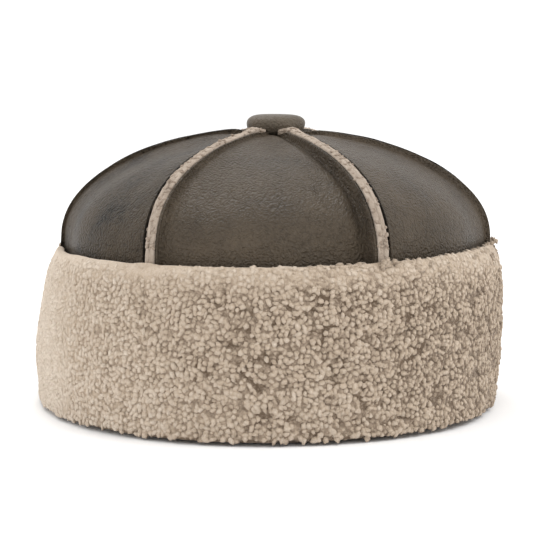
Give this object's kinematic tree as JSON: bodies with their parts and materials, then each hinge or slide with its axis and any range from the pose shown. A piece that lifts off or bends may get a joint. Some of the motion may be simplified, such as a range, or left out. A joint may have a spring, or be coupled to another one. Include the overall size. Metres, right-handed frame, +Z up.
{
  "type": "shearling docker cap",
  "caption": "Brimless round docker cap of shearling: gored leather crown with raised seams and a covered button on top, wide turned-up cuff with its wool side out.",
  "frame": {"origin": "on the surface that the cap stands on, in the middle of its box seen from above", "axes": "+Z up, -Y towards the front of the cap as the picture shows it, +X to the right of that view"},
  "size_m": [0.2378, 0.2358, 0.1432],
  "materials": {
    "leather": "smooth dark olive-brown nappa leather, semi-matt, fine grain",
    "crown_wool": "short trimmed beige sheepskin wool",
    "cuff_wool": "dense curly greyish beige sheepskin wool"
  },
  "bodies": {
    "root": {"gore_leather_1": "leather", "gore_leather_2": "leather", "gore_leather_3": "leather", "gore_leather_4": "leather", "gore_leather_5": "leather", "gore_leather_6": "leather", "gore_wool_1": "crown_wool", "gore_wool_2": "crown_wool", "gore_wool_3": "crown_wool", "gore_wool_4": "crown_wool", "gore_wool_5": "crown_wool", "gore_wool_6": "crown_wool", "cuff_leather": "leather", "cuff_wool": "cuff_wool", "button": "leather"}
  },
  "joints": []
}
